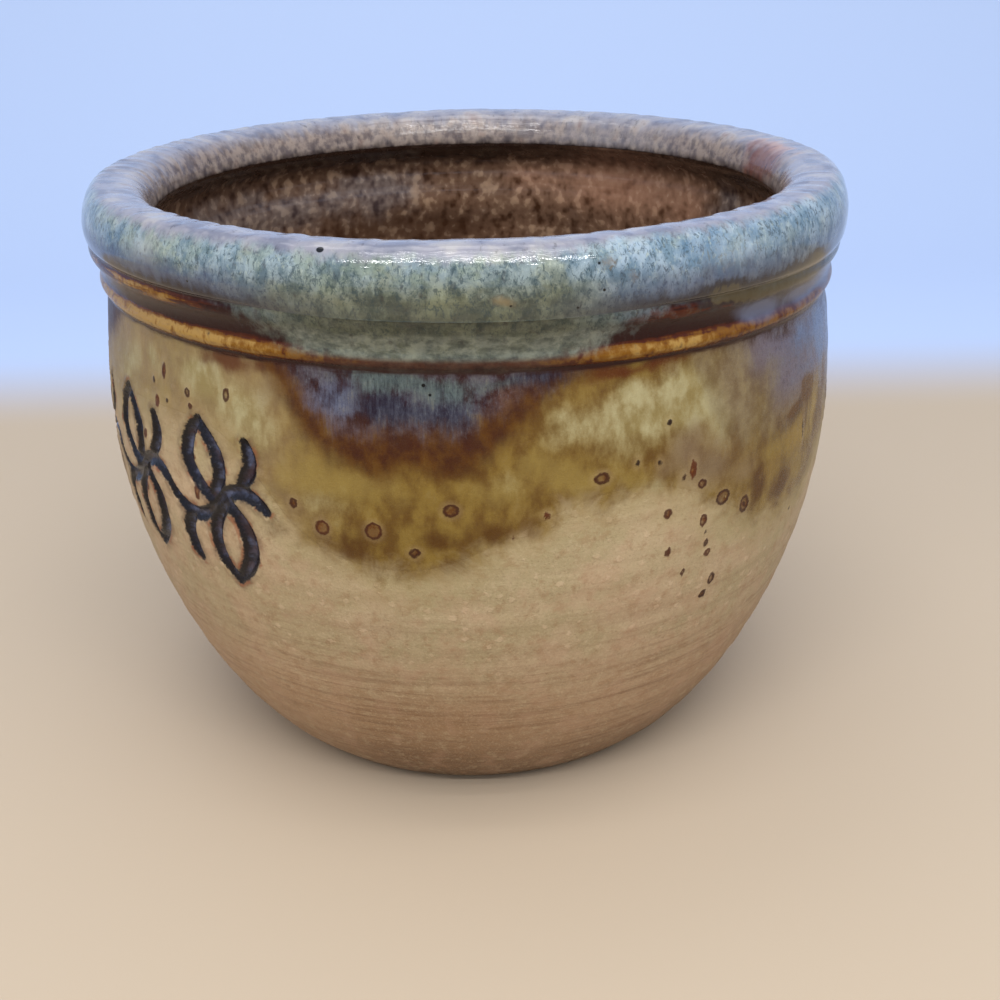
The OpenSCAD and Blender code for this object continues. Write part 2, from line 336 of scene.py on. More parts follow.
# Washes of colour in the glaze, and some of painted shade and reflection: azimuth, height, half width,
# half height, strength
WASHES = {
    "pale": [
        (20.5, 132.5, 5, 4, 0.85), (28, 132.5, 6.5, 5, 1), (21, 124, 8, 6, 0.9), (27, 126, 7, 6, 0.8),
        (35.5, 121, 4.5, 8, 0.7), (31.5, 128, 6, 8, 1), (11, 128, 6, 6, 0.55), (15, 128, 6, 5, 0.4),
        (4, 114, 7, 3.5, 0.35), (24, 109, 5, 3, 0.5), (-38, 131, 8, 6, 0.95), (-32, 128, 6, 5, 0.5),
        (-49, 132, 9, 6, 0.3), (-50, 134.5, 3, 3, 0.5), (-41, 135, 3.5, 2.5, 0.8), (-58, 128, 8, 7, 0.6),
        (104, 118, 20, 10, 0.8), (170, 118, 18, 10, 0.8), (-112, 132, 20, 7, 0.7), (-29, 125, 7, 9, 0.5),
        (-20, 106, 9, 5, 0.4), (118, 104, 10, 6, 0.5), (-176, 108, 10, 8, 0.6),
    ],
    "glow": [
        (-20.5, 117, 9, 7, 0.8), (-15.8, 111, 10, 4, 0.8), (-9, 110, 8, 4, 0.4), (8, 119, 9, 5, 0.7),
        (3.2, 111.8, 8, 4, 0.7), (14, 114, 8, 5, 0.6), (57.5, 106, 2, 7, 0.9), (60.5, 109, 2.6, 7, 1),
        (49, 101, 7, 6, 0.6), (20, 112, 8, 5, 0.5), (45, 106, 5, 3, 0.4), (-26, 110, 6, 7, 0.4),
        (124, 110, 10, 6, 0.7), (146, 112, 12, 5, 0.6), (-150, 118, 12, 5, 0.6),
    ],
    "cloud": [
        (29.5, 117.5, 6, 6, 0.75), (25, 113, 5, 4, 0.5), (34, 110, 8, 6, 0.8), (40, 104, 6, 4, 0.5),
        (37, 130, 5, 9, 0.9), (40, 122, 5, 9, 0.8), (-27, 133, 6, 6, 0.5), (98, 110, 14, 8, 0.6),
        (-118, 128, 12, 6, 0.5), (160, 108, 14, 8, 0.6), (8, 106, 7, 4, 0.3),
    ],
    "blotch": [
        (-26, 100, 6, 7, 0.3), (-16.5, 95, 5, 4, 0.9), (-5, 97, 7, 4, 0.6), (-10, 103, 6, 3, 0.4),
        (3, 101, 4.5, 4, 0.8), (43, 99, 4, 5, 0.9), (50, 94, 4, 5, 0.9), (56.5, 108, 2.5, 4, 0.9),
        (56.5, 116, 3, 6, 1), (64, 112, 3, 8, 0.8), (48, 101, 6, 4, 0.5), (62, 104, 3, 8, 0.8),
        (-2.2, 118, 6, 3, 0.8), (-10, 121, 8, 3, 0.35), (112, 92, 9, 4, 0.8), (126, 100, 8, 5, 0.7),
        (168, 94, 10, 4, 0.8), (-176, 92, 8, 5, 0.8), (-160, 106, 9, 5, 0.6),
    ],
    # blue: the three near height 147.5 on the +X side lie in the cove and are painted reflection; the rest
    # is the runs' glaze blue
    "blue": [
        (-17, 134.5, 6, 4, 0.55), (-20, 131, 7, 5, 0.45), (56, 134, 12, 9, 0.7), (66, 126, 10, 9, 0.6),
        (41, 147.6, 9, 2.8, 1), (53, 147.6, 10, 3, 1), (64, 147.4, 12, 3, 1), (-80, 140, 10, 6, 0.8),
        (150, 136, 14, 6, 0.7), (-142, 140, 12, 6, 0.6), (-3, 135, 4, 4, 0.4), (82, 138, 10, 8, 0.7),
        (-6, 128, 5, 2, 0.3),
    ],
    # Pale blue: at the +X edge a painted reflection of the pale wall, elsewhere the glaze's own blue
    "azure_and_sheen": [
        (56, 134, 6, 6, 0.5), (64, 132, 7, 11, 1), (72, 128, 9, 14, 1), (-86, 138, 9, 5, 0.6),
        (152, 138, 10, 5, 0.7),
    ],
    "navy": [
        (-12, 134.5, 6, 3, 0.8), (-10, 131.5, 8, 4, 1), (-3, 131, 7, 5, 0.9), (2, 128, 5, 3, 0.8),
        (8, 138, 8, 2.2, 1), (13, 138, 5, 2, 0.8), (-24, 138, 5, 2.4, 0.7), (-150, 132, 9, 4, 0.9),
        (140, 128, 8, 5, 0.9), (160, 140, 10, 4, 0.7), (-16, 139, 5, 1.6, 0.6),
    ],
    "teal": [
        (-9, 139, 14, 2.2, 0.9), (-13, 137.5, 6, 2.5, 0.6), (-2.8, 136, 7, 3, 0.8), (4, 137.5, 5, 2, 0.6),
        (146, 141, 14, 3, 0.9), (-146, 143, 14, 3, 0.9), (-82, 146, 8, 3, 0.6),
    ],
    # mauve: on the +X side partly painted reflection, a grey-blue sheen, over the glaze's own purple
    "mauve": [
        (-21.5, 131.5, 6, 5, 0.7), (-16.8, 127.5, 7, 3, 0.6), (41, 134, 8, 7, 0.8), (45, 130, 9, 10, 1),
        (43, 120, 9, 10, 1), (50, 122, 9, 11, 1), (57, 130, 12, 14, 1), (64, 122, 10, 12, 1),
        (73, 124, 12, 16, 1), (84, 136, 10, 9, 1), (-76, 136, 9, 6, 0.9), (-90, 142, 8, 5, 0.9),
        (132, 132, 9, 6, 0.9), (172, 142, 8, 5, 0.9),
    ],
    "mist": [(30, 131, 10, 18, 1), (36, 125, 11, 18, 1), (42, 116, 11, 9, 0.9), (46, 126, 9, 8, 0.35)],
    "umber": [(57, 117.5, 5.5, 5.5, 1), (51.5, 113, 5, 2.6, 0.7), (66.5, 112, 4, 11, 1)],
    "gold": [(61, 112.5, 3.2, 7.5, 1), (54, 105.5, 7, 5, 1), (46.5, 101, 5, 3.5, 0.9)],
    "clean": [(146, 164, 34, 12, 0.9)],
    "bright": [(26, 38, 44, 24, 0.9), (20, 78, 30, 14, 0.4), (-24, 76, 16, 14, 0.5)],
    "milk": [
        (-46, 161, 9, 6, 1), (34, 162, 10, 5, 0.5), (-64, 160, 8, 8, 0.5), (68, 160, 10, 6, 0.6),
        (150, 160, 20, 6, 0.6),
    ],
    "tan": [(4.2, 158.6, 3, 1.2, 1), (16.5, 166, 2.2, 1.6, 0.7), (20, 162.5, 1.6, 1.6, 0.7)],
    "russet": [(146, 148, 26, 15, 1), (128, 142, 12, 12, 0.6), (166, 146, 12, 6, 0.5)],
    # Painted shade just under the lower cordon, not a colour of the glaze
    "under_cordon_shade": [
        (-35, 137.5, 9, 3.2, 1), (-25, 139, 9, 2.6, 0.9), (17, 139, 8, 3, 0.9), (25, 139.5, 8, 2.2, 0.8),
        (34, 140, 6, 1.8, 0.6), (170, 138, 16, 3, 0.9), (100, 139, 12, 3, 0.7),
    ],
    "moss": [
        (35, 152.4, 9, 2.4, 0.8), (45, 152.8, 11, 2.8, 1), (55, 153, 8, 2.8, 1), (88, 152, 12, 2.4, 0.9),
    ],
    "flush": [(98, 168, 12, 4, 0.9), (100, 161, 12, 5, 1), (108, 166, 8, 3, 0.4)],
    "ash": [
        (216, 140, 34, 9, 0.9), (198, 142, 14, 8, 1), (240, 138, 24, 14, 0.8), (117, 140, 10, 14, 1),
        (60, 120, 30, 20, 0.8), (-30, 110, 30, 20, 0.8),
    ],
    # Painted shade inside: low on the back wall behind the front lip, under the rim and deep down
    "inside_shade": [
        (204, 128, 26, 6, 1), (184, 127, 20, 7, 1), (158, 126, 18, 4, 0.6), (150, 100, 40, 14, 0.6),
        (90, 110, 30, 16, 0.6), (20, 90, 40, 16, 0.7), (201, 150, 30, 3, 0.6),
    ],
    "rust": [
        (4.5, 134, 4.5, 4, 0.7), (3, 129, 4, 3, 0.4), (-25, 135, 4, 4, 0.5), (-13, 127, 6, 1.6, 0.4),
        (128, 122, 5, 4, 0.7), (-158, 122, 6, 4, 0.7),
    ],
}
# Iron spots: azimuth, height, how wide, how tall, and tone (0 dark brown, 1 orange)
SPOTS = [
    (-24, 106, 2.2, 2.6, 0.35), (-20, 100.5, 3.6, 3.9, 0.6), (-13, 101, 4.2, 4.4, 0.45),
    (-7.8, 95.5, 2.8, 2.4, 0.3), (-3, 107, 3.8, 3.2, 0.35), (16.5, 112.5, 3.8, 2.7, 0.35),
    (30.2, 110, 1.9, 4.6, 0.9), (31.8, 105.3, 2.6, 2.4, 0.4), (35.8, 99.6, 4.6, 4.2, 0.3),
    (40.5, 95, 3.4, 4.6, 0.35), (26.3, 99.6, 2.3, 2.6, 0.6), (32.5, 94.8, 2.2, 3.2, 0.6),
    (33.2, 91, 1.0, 1.2, 0.1), (33.5, 87.6, 1.7, 2.0, 0.3), (34, 84.5, 2.1, 2.2, 0.7),
    (26.8, 88.4, 1.7, 2.6, 0.6), (30, 80.5, 1.1, 2.2, 0.5), (36, 75, 2.4, 3.4, 0.3),
    (35, 70.4, 2.3, 2.6, 0.3), (26.3, 123.6, 1.4, 1.5, 0.0), (21.5, 115, 1.1, 1.6, 0.0),
    (24.8, 113.8, 1.0, 1.5, 0.0), (9.2, 104.6, 1.6, 1.8, 0.8), (55, 83.6, 0.9, 1.3, 0.1),
    (56, 107, 1.0, 4.6, 0.1), (-40.8, 118.5, 2.4, 2.8, 0.2), (-41.2, 111.8, 3.2, 2.2, 1.0),
    (-40.8, 102, 1.8, 3.6, 0.8), (-46.8, 131.5, 1.5, 3.4, 0.6), (-48.8, 123, 1.9, 3.2, 0.9),
    (-41.5, 128.2, 1.8, 2.2, 0.3), (-34, 130.2, 2.0, 3.0, 0.4), (-46.2, 124.3, 0.9, 1.1, 0.1),
    (-41, 125, 1.4, 1.4, 0.5), (-49.5, 128.2, 1.0, 1.4, 0.1), (5, 99.6, 1.0, 1.2, 0.6),
    (-55, 96, 1.6, 3.0, 0.8), (-53, 112, 1.5, 2.4, 0.7), (28.6, 108.4, 1.0, 1.6, 0.2),
]
SPOTS_BEHIND = 46
# Pinholes in the glaze: azimuth, height, radius
PITS = [
    (-18, 168.9, 0.85), (-9.8, 153.1, 0.35), (-7.5, 153.1, 0.35), (4.8, 156.8, 0.3), (16, 159.3, 0.35),
    (12.8, 155.6, 0.3), (15.5, 165.2, 0.35), (-6, 137.4, 0.45), (-5.2, 135.2, 0.35), (-37, 158, 0.3),
]


def spots_all_round():
    """The spots of the camera's side, and seeded ones on the rest."""
    draw = np.random.default_rng(7)
    more = []
    for _ in range(SPOTS_BEHIND):
        azimuth = draw.uniform(72, 285)
        size = draw.uniform(1.4, 4.6) * draw.uniform(0.6, 1)
        height = around(GLAZE_EDGE, azimuth) + draw.normal(2, 9)
        more.append((azimuth, float(height), size, size * draw.uniform(0.9, 1.4), draw.uniform(0, 0.8)))
    return SPOTS + more


def spot_fields(azimuth, z):
    """Distance to the nearest spot's edge, negative inside, and that spot's tone."""
    near = np.full(np.broadcast(azimuth, z).shape, FAR)
    tone = np.zeros_like(near)
    for a, h, wide, tall, shade in spots_all_round():
        from_middle = np.hypot(across_from(a, azimuth) / (wide / 2), (z - h) / (tall / 2))
        distance = (from_middle - 1) * min(wide, tall) / 2
        tone = np.where(distance < near, shade, tone)
        near = np.minimum(near, distance)
    return near, tone


# ---- carved vine

VINE_START = -37.5  # azimuth of the middle of the first repeat
VINE_STEP = -19.0
VINE_REPEATS = 6
VINE_HEIGHT = 100.0
VINE_HALF_W = 26.0
VINE_HALF_H = 34.0
# Gouge cuts of one repeat: start, bend and end in mm from its middle, and the half width
VINE_CUTS = [
    ((-18.5, 2), (-9, -10), (0, 0), 2.1),
    ((0, 0), (9, 10), (17.5, 2), 2.1),
    ((-1, 2), (-15, 11), (-4, 22), 2.5),
    ((-1, 2), (8, 11), (-4, 22), 2.2),
    ((5, 2), (-7, -10), (4, -21), 2.2),
    ((5, 2), (17, -10), (4, -21), 2.5),
    ((-10, -6), (-15, -11), (-10, -18), 2.4),
    ((10, 8), (15, 12), (12, 19), 2.3),
]


def cut_distance(x, y):
    """Distance from places in one repeat to the nearest cut's edge, negative inside."""
    t = np.linspace(0, 1, 25)
    swelling = np.sin(np.pi * (0.14 + 0.74 * t)) ** 0.5
    near = np.full(x.shape, FAR)
    for start, bend, end, half in VINE_CUTS:
        s, b, e = (np.array(p, float) for p in (start, bend, end))
        line = ((1 - t) ** 2)[:, None] * s + (2 * (1 - t) * t)[:, None] * b + (t**2)[:, None] * e
        for (cx, cy), wide in zip(line, half * swelling):
            near = np.minimum(near, np.hypot(x - cx, y - cy) - wide)
    return near


def carving(azimuth, z):
    """Distance to the nearest gouge cut's edge, negative inside."""
    near = np.full(np.broadcast(azimuth, z).shape, FAR)
    for repeat in range(VINE_REPEATS):
        across = across_from(VINE_START + VINE_STEP * repeat, azimuth)
        x, y = np.broadcast_arrays(across, z - VINE_HEIGHT)
        close = (np.abs(x) < VINE_HALF_W) & (np.abs(y) < VINE_HALF_H)
        near[close] = np.minimum(near[close], cut_distance(x[close], y[close]))
    return near


# ---- relief of the surface

# Heights and depths of the relief
THROWING_LINES = 0.13
FOOT_LINES = 0.10
DENTS = 0.09
ROLL_LINES = 0.05
ROLL_PEBBLES = 0.04
ROLL_WAVES = 0.22
ROLL_FULLNESS = 1.1
LIP_NOTCHES = 0.24
POOL_UNDER_ROLL = 0.7
POOL_ON_CORDON = 0.25
POOL_HOLLOW = 0.35
LEFT_SWELLING = 0.7
FINGER_LINES = 0.3
FINGER_WAVES = 0.2
SPOT_RING = 0.16
SPOT_HOLLOW = 0.22
CUT_DEPTH = 1.6
CUT_BURR = 0.22
SINKING = 0.3  # draws the outside in, so that the relief stays inside the plain outline
DROOP = 1.3
THIN_COAT = 0.08


def belly_relief(azimuth, along, z):
    """Throwing lines, finer lines near the foot, dents, spots and cuts."""
    on_foot = ease(along, 1.5, 6)
    spiral = np.sin(2 * np.pi * along / 9.3 - np.radians(azimuth))
    throwing = 0.5 * spiral + 0.5 * ripple(azimuth, along, 160, 3.4, seed=11)
    height = (THROWING_LINES * throwing + DENTS * ripple(azimuth, along, 6, 6, seed=13)) * on_foot
    # a spot is a raised ring round a shallow hollow
    spot, _ = spot_fields(azimuth, z)
    height = height + SPOT_RING * hump(spot, 0, 0.55) - SPOT_HOLLOW * ease(-spot, 0.2, 1.2)
    # a cut is a rounded trough with a small burr along its edge
    cut = carving(azimuth, z)
    return height - CUT_DEPTH * ease(-cut, -0.3, 2.0) + CUT_BURR * hump(cut, 0.7, 0.5) - SINKING * on_foot


def roll_relief(azimuth, along):
    """Fine lines around, a pebbly skin and slow waves."""
    lines = ROLL_LINES * ripple(azimuth, along, 70, 1.2, seed=14)
    pebbles = ROLL_PEBBLES * ripple(azimuth, along, 3.5, 2.6, seed=15)
    return lines + pebbles + ROLL_WAVES * ripple(azimuth, along, 45, 14, seed=16) - SINKING


def lip_relief(azimuth, along):
    """The roll's top, fuller than an ellipse, and small notches in the lip from the wheel."""
    on_lip = ease(along, CREST_AT - 6, CREST_AT + 2) * (1 - ease(along, MOUTH_AT - 2, MOUTH_AT + 5))
    notches = LIP_NOTCHES * ripple(azimuth, along, 2.5, 30, seed=18) * on_lip
    return notches + ROLL_FULLNESS * hump(along, CREST_AT + 9.5, 5)


def collar_relief(azimuth, along):
    """Glaze has filled the collar in front and behind, and it swells on the left."""
    up = along - GROOVE_AT
    pool = POOL_UNDER_ROLL * hump(up, 0, 3.0) + POOL_ON_CORDON * hump(up, -7.5, 2.2)
    pool = pool - POOL_HOLLOW * hump(up, -12, 1.8)
    on_left = hump(turn(azimuth + 82), 0, 22)
    return around(CURVES["veil"], azimuth) ** 2 * pool + LEFT_SWELLING * on_left * hump(up, -4, 5)


def inside_relief(azimuth, along):
    """Broad finger lines on the wall and the floor."""
    inside = ease(along, MOUTH_AT + 12, MOUTH_AT + 20) * (1 - ease(along, END_AT - 12, END_AT))
    lines = FINGER_LINES * np.sin(2 * np.pi * along / 12.5 + np.radians(azimuth))
    return (lines + FINGER_WAVES * ripple(azimuth, along, 90, 5, seed=17)) * inside


def relief(azimuth, along):
    """How far the thrown, carved and fired surface stands out of the plain outline."""
    z = on_path(PATH[:, 1], along)
    outside = 1 - ease(along, CREST_AT, CREST_AT + 4)
    on_belly = (1 - ease(along, SHOULDER_AT - 4, SHOULDER_AT)) * outside
    on_roll = ease(along, GROOVE_AT, GROOVE_AT + 4) * (1 - ease(along, MOUTH_AT + 1, MOUTH_AT + 6))
    near_foot = ease(along, 1.5, 6) * (1 - ease(z, 44, 70)) * outside
    height = belly_relief(azimuth, along, z) * on_belly + roll_relief(azimuth, along) * on_roll
    height = height + FOOT_LINES * ripple(azimuth, along, 300, 1.9, seed=12) * near_foot
    height = height + lip_relief(azimuth, along) + collar_relief(azimuth, along)
    return height + inside_relief(azimuth, along)


def edge_along(azimuth):
    """How far up the outside the olive glaze begins."""
    return along_of_height(around(GLAZE_EDGE, azimuth))


def coat(azimuth, along):
    """Thickness of the glaze over the clay: a thin coat from its free edges, then a full one."""
    climb = np.where(along < CREST_AT, along - edge_along(azimuth), END_AT - along)
    return THIN_COAT * ease(climb, 0, 0.7) + (GLAZE_T - THIN_COAT) * ease(climb, 0.7, 8)


def collar_droop(azimuth, along):
    """The hand-thrown collar hangs lower on the +X side, and rides higher on the other."""
    on_collar = ease(along, SHOULDER_AT - 16, SHOULDER_AT) * (1 - ease(along, GROOVE_AT, GROOVE_AT + 11))
    return -DROOP * np.sin(np.radians(azimuth)) * on_collar


def surface(azimuth, along, sunk=0.0):
    """Points in millimetres, so far below the finished surface."""
    out = relief(azimuth, along) - sunk
    in_groove = np.exp(-(((along - GROOVE_AT + 0.5) / 5.5) ** 4))
    pooled = around(CURVES["veil"], azimuth) ** 2 * in_groove
    r = lerp(on_path(PATH[:, 0], along), on_path(POOLED_PATH[:, 0], along), pooled)
    z = lerp(on_path(PATH[:, 1], along), on_path(POOLED_PATH[:, 1], along), pooled)
    r = r + on_path(OUTWARD[:, 0], along) * out
    z = z + on_path(OUTWARD[:, 1], along) * out + collar_droop(azimuth, along)
    return turned(azimuth, r, z)


def turned(azimuth, r, z):
    a = np.radians(azimuth)
    x, y, z = np.broadcast_arrays(r * np.sin(a), -r * np.cos(a), z)
    return np.stack([x, y, z], -1)


# ---- meshes

# Azimuths of the mesh's columns, closest where the vine is
COLUMNS = np.concatenate([
    np.arange(-140, -27, 0.4),
    np.arange(-27, 76, 0.6),
    np.arange(76, 220, 1.2),
])[None, :]


def rows(*stops):
    """Steps along the surface: a start, then (end, spacing) pairs."""
    start, found = stops[0], [stops[0]]
    for end, spacing in stops[1:]:
        count = max(1, round((end - start) / spacing))
        found += list(np.linspace(start, end, count + 1)[1:])
        start = end
    return np.array(found)[:, None]


def wrap_radius(along):
    """Radius for the patterns, drawn in on the floor inside and underneath, so they keep their scale."""
    inner = np.minimum(WRAP_R, on_path(PATH[:, 0], along))
    radius = np.where(along > INNER_BELLY_AT, inner, WRAP_R)
    return np.where(along < 0, FOOT_R + along, radius)


def paint_fields(azimuth, along):
    """What the materials know about each point of the surface."""
    z = on_path(PATH[:, 1], along)
    spot, tone = spot_fields(azimuth, z)
    outside = along < CREST_AT
    flat = np.zeros(np.broadcast(azimuth, along).shape)
    fields = {
        "wrap": turned(azimuth, wrap_radius(along) + flat, along + flat),
        "height": z + flat,
        "roll": along - GROOVE_AT + flat,
        "edge": np.where(outside, z - around(GLAZE_EDGE, azimuth), NO_EDGE),
        "run": np.where(outside, z - around(RUN_EDGE, azimuth, 1.6), NO_EDGE),
        "brown": np.where(outside, z - around(BROWN_EDGE, azimuth, 1.6), NO_EDGE),
        "spot": np.where(outside, spot, FAR),
        "tone": tone,
        "cut": np.where(outside, carving(azimuth, z), FAR),
    }
    for name, curve in CURVES.items():
        fields[name] = around(curve, azimuth, 2.0) + flat
    drift = ripple(azimuth, along, 13, 9, seed=21) * 2.2 + ripple(azimuth, along, 5, 4, seed=22) * 0.8
    sway = ripple(azimuth, along, 12, 10, seed=23) * 1.2 + ripple(azimuth, along, 5, 4, seed=24) * 0.4
    for name, places in WASHES.items():
        fields[name] = patches(places, azimuth + sway, z + drift)
    return fields


def lathe(name, rings, fields, material, node, caps=()):
    """A closed ring-shaped mesh from rings of points, shaded flat on the rings that are named caps."""
    count, columns = rings.shape[:2]
    i, j = np.arange(count)[:, None], np.arange(columns)[None, :]
    up, right = (i + 1) % count, (j + 1) % columns
    corners = [i * columns + j, i * columns + right, up * columns + right, up * columns + j]
    faces = np.stack(corners, -1).reshape(-1)
    mesh = bpy.data.meshes.new(name)
    mesh.vertices.add(count * columns)
    mesh.vertices.foreach_set("co", (rings * MM).reshape(-1).astype(np.float32))
    mesh.loops.add(len(faces))
    mesh.loops.foreach_set("vertex_index", faces.astype(np.int32))
    mesh.polygons.add(len(faces) // 4)
    mesh.polygons.foreach_set("loop_start", np.arange(0, len(faces), 4, dtype=np.int32))
    mesh.update(calc_edges=True)
    smooth = np.ones((count, columns), bool)
    smooth[list(caps)] = False
    mesh.polygons.foreach_set("use_smooth", smooth.reshape(-1))
    for key, values in fields.items():
        kind, prop = ("FLOAT_VECTOR", "vector") if values.ndim == 3 else ("FLOAT", "value")
        attribute = mesh.attributes.new(key, kind, "POINT")
        attribute.data.foreach_set(prop, values.reshape(-1).astype(np.float32))
    mesh.materials.append(material)
    piece = bpy.data.objects.new(name, mesh)
    bpy.context.scene.collection.objects.link(piece)
    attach(piece, "root")
    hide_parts(node)


def shell(name, outer, inner, skin, material, node):
    """A coat of glaze: out along its face, and back along the clay under it."""
    face = surface(COLUMNS, outer, skin)
    back = surface(COLUMNS, inner, coat(COLUMNS, inner))
    fields = paint_fields(COLUMNS, np.concatenate([outer + 0 * COLUMNS, inner + 0 * COLUMNS]))
    caps = (0, len(outer) - 1, len(outer) + len(inner) - 1)
    lathe(name, np.concatenate([face, back]), fields, material, node, caps)


def foot_outline():
    """The underside as (radius, height), from the drain hole's upper edge out to the foot."""
    ring_r = FOOT_R - RING_W
    return [
        (DRAIN_R + 1, FLOOR_Z), (DRAIN_R + 0.3, FLOOR_Z - 0.3), (DRAIN_R, FLOOR_Z - 1),
        (DRAIN_R, RECESS_H + 1), (DRAIN_R + 0.3, RECESS_H + 0.3), (DRAIN_R + 1, RECESS_H),
        (30, RECESS_H), (ring_r - 2.2, RECESS_H), (ring_r - 1.7, RECESS_H - 0.15),
        (ring_r, 0.15), (ring_r + 0.5, 0), (FOOT_R - 0.6, 0),
    ]


def clay_piece(material):
    """The underside, then the clay's surface, sunk under the glaze that covers it."""
    border = rows(
        0.4, (along_of_height(62), 1.9), (along_of_height(122), 0.95), (SHOULDER_AT, 3),
        (GROOVE_AT, 1.4), (MOUTH_AT, 3.5), (MOUTH_AT + 20, 2.2), (FLOOR_AT, 10),
        (END_AT - 9, 10), (END_AT, 3),
    )
    hidden = ease(border, SHOULDER_AT - 18, SHOULDER_AT - 4) * (1 - ease(border, END_AT - 9, END_AT - 2))
    clay = surface(COLUMNS, border, coat(COLUMNS, border) + 0.25 * hidden)
    under = np.array([turned(COLUMNS, r, z)[0] for r, z in foot_outline()])
    under_along = np.array([[r - FOOT_R] for r, _ in foot_outline()])
    along = np.concatenate([under_along, border]) + 0 * COLUMNS
    fields = paint_fields(COLUMNS, along)
    lathe("clay_body", np.concatenate([under, clay]), fields, material, "stoneware_body")


def shoulder_piece(material):
    """From the olive glaze's wandering edge up to the groove under the roll."""
    edge, top = edge_along(COLUMNS), SHOULDER_AT - 2
    climb = np.concatenate([[-0.4], np.linspace(0, 1, 40)])[:, None]
    outer = np.concatenate([
        np.where(climb < 0, edge + climb, lerp(edge, top, climb)),
        rows(top, (GROOVE_AT - 1.5, 0.45), (GROOVE_AT, 0.12))[1:] + 0 * COLUMNS,
    ])
    inner = np.concatenate([
        rows(-GROOVE_AT, (-top, 1.2))[:-1] * -1 + 0 * COLUMNS,
        lerp(edge - 0.4, top, np.linspace(1, 0.02, 10)[:, None]),
    ])
    dip = np.where(outer < edge - 0.2, 0.12, 0.0)
    shell("shoulder_coat", outer, inner, dip, material, "shoulder_glaze")


def rim_piece(material):
    roll = rows(GROOVE_AT, (GROOVE_AT + 1.5, 0.12), (MOUTH_AT, 0.42))
    shell("rim_coat", roll, roll[::-4], 0.0, material, "rim_glaze")


def liner_piece(material):
    inside = rows(MOUTH_AT, (MOUTH_AT + 20, 1.0), (FLOOR_AT, 2.2), (END_AT, 2.4))
    shell("liner_coat", inside, inside[::-5], 0.0, material, "liner_glaze")


# ---- material tools

GLOSS_LIGHT = 0.015  # what a glaze's gloss adds to its colour from the room
DARKEST = 0.003


def srgb(red, green, blue):
    """A screen colour, 0 to 255, as linear light."""
    parts = [c / 255 for c in (red, green, blue)]
    return tuple(c / 12.92 if c <= 0.04045 else ((c + 0.055) / 1.055) ** 2.4 for c in parts) + (1.0,)


def glazed(red, green, blue):
    """The body colour of a glaze that shows a screen colour once its gloss adds the room's light."""
    return tuple(max(c - GLOSS_LIGHT, DARKEST) for c in srgb(red, green, blue)[:3]) + (1.0,)


class Value:
    """A number or colour that varies over the surface; +, - and * on it add nodes."""

    def __init__(self, shade, socket):
        self.shade, self.socket = shade, socket

    def __add__(self, other):
        return self.shade.math("ADD", self, other)

    def __sub__(self, other):
        return self.shade.math("SUBTRACT", self, other)

    def __rsub__(self, other):
        return self.shade.math("SUBTRACT", other, self)

    def __mul__(self, other):
        return self.shade.math("MULTIPLY", self, other)

    __radd__ = __add__
    __rmul__ = __mul__


